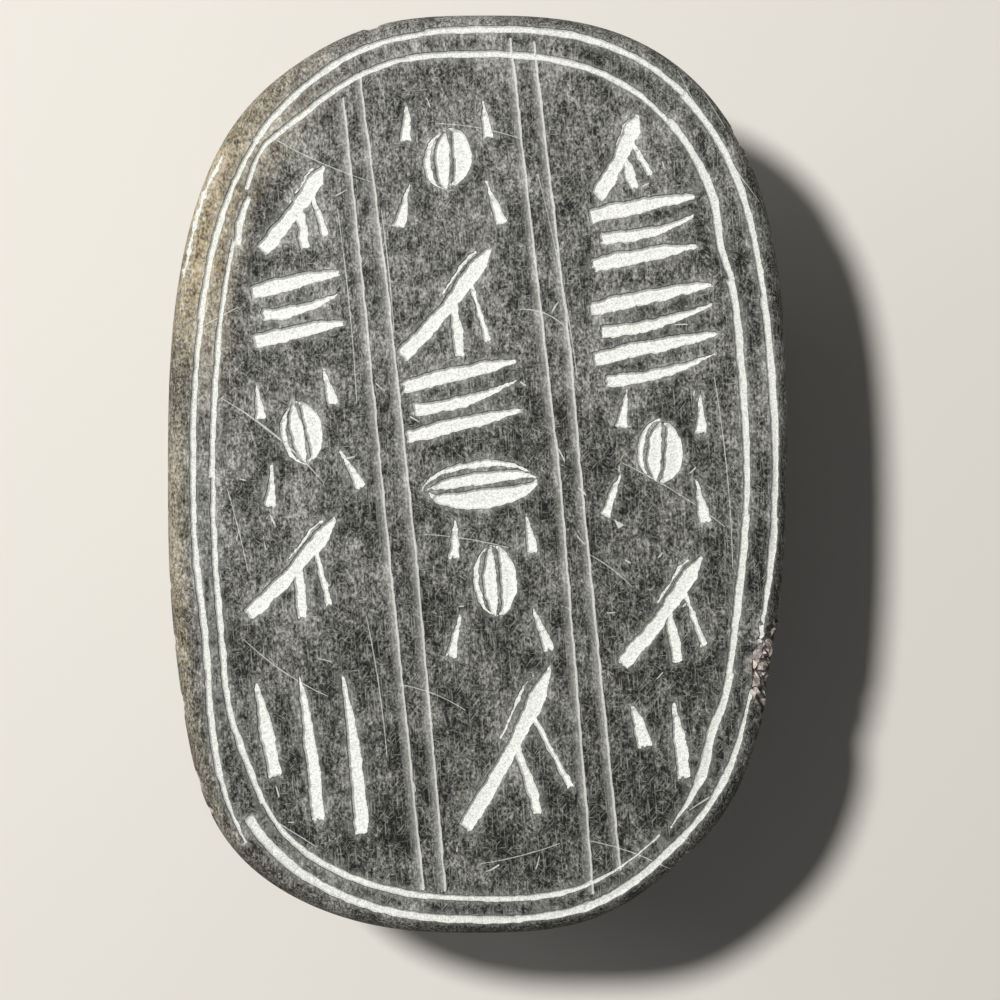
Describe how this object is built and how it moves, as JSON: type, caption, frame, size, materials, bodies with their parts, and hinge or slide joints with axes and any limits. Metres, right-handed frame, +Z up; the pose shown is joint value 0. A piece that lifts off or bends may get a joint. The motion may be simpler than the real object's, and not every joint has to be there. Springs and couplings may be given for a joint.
{
  "type": "scarab amulet",
  "caption": "Large stone scarab amulet lying on its domed beetle back, with its flat oval underside up, engraved with rim lines, column rules and rows of strokes.",
  "frame": {"origin": "on the floor, under the middle of the oval outline", "axes": "+Z up through the back towards the inscribed underside, +Y along the length towards the beetle's head, +X across it"},
  "size_m": [0.0538, 0.0796, 0.03],
  "materials": {
    "soapstone": "blackened soapstone, ground flat and rubbed smooth, with pale fresh-cut strokes"
  },
  "bodies": {
    "root": {"scarab": "soapstone"}
  },
  "joints": []
}
